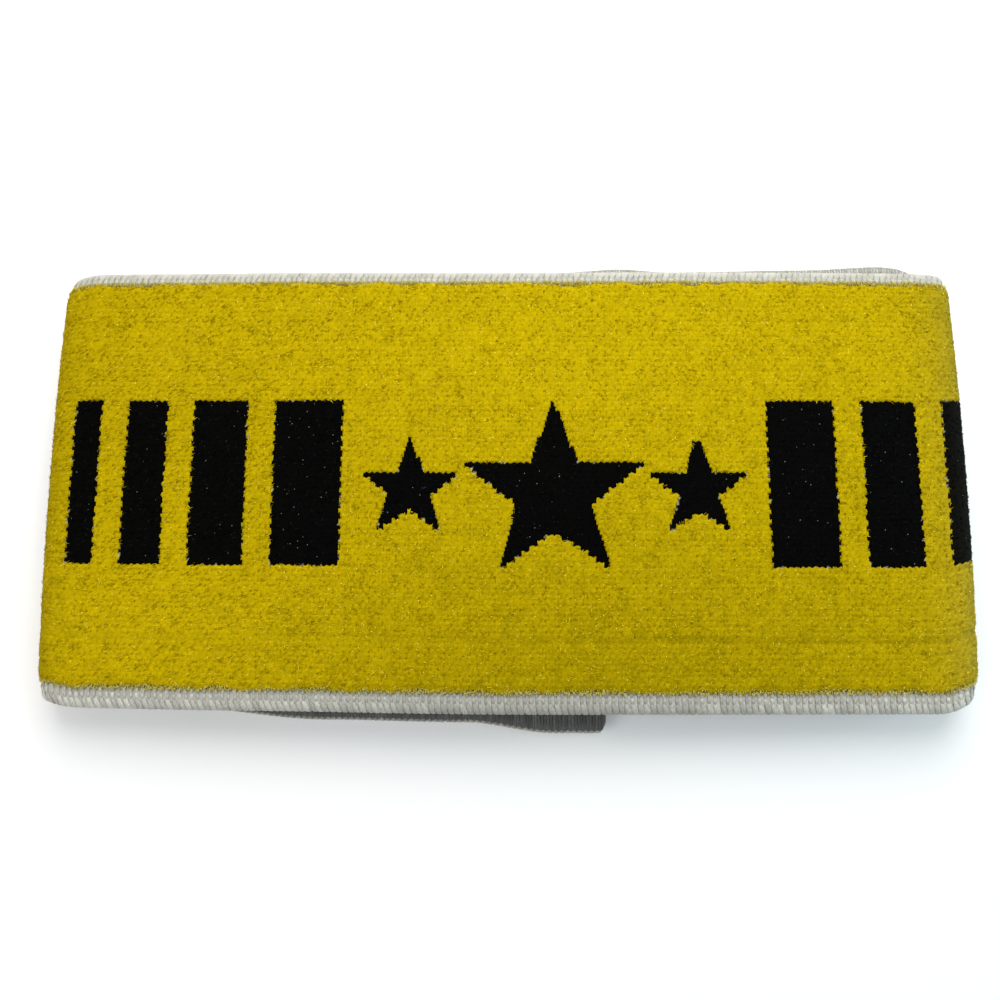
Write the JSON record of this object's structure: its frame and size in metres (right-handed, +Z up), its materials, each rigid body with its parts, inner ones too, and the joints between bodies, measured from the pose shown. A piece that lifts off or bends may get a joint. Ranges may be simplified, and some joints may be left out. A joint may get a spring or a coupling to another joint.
{
  "type": "captain armband",
  "caption": "Wide knitted elastic armband lying flat, with white selvedges and a yellow pile face patterned with black bars and stars.",
  "frame": {"origin": "under the middle of the loop's bounding box, on the surface that it lies on", "axes": "+X from the left fold to the right fold, +Y across the tape towards the far selvedge, +Z up out of the front layer"},
  "size_m": [0.1474, 0.0772, 0.0102],
  "materials": {
    "white_ground": "ribbed knitted elastic, matt",
    "yellow_pile": "short looped pile, matt with fine glints",
    "black_pile": "short looped pile, matt with fine glints"
  },
  "bodies": {
    "root": {"black_bar_left_1": "black_pile", "black_bar_left_2": "black_pile", "black_bar_left_3": "black_pile", "black_bar_left_4": "black_pile", "black_bar_left_5": "black_pile", "black_bar_left_6": "black_pile", "black_bar_left_7": "black_pile", "black_bar_right_1": "black_pile", "black_bar_right_2": "black_pile", "black_bar_right_3": "black_pile", "black_bar_right_4": "black_pile", "black_bar_right_5": "black_pile", "black_bar_right_6": "black_pile", "black_bar_right_7": "black_pile", "black_star_back_2": "black_pile", "black_star_back_3": "black_pile", "black_star_front_1": "black_pile", "black_star_front_2": "black_pile", "black_star_front_3": "black_pile", "black_star_lap_1": "black_pile", "ground_tape": "white_ground", "yellow_pile": "yellow_pile"}
  },
  "joints": []
}
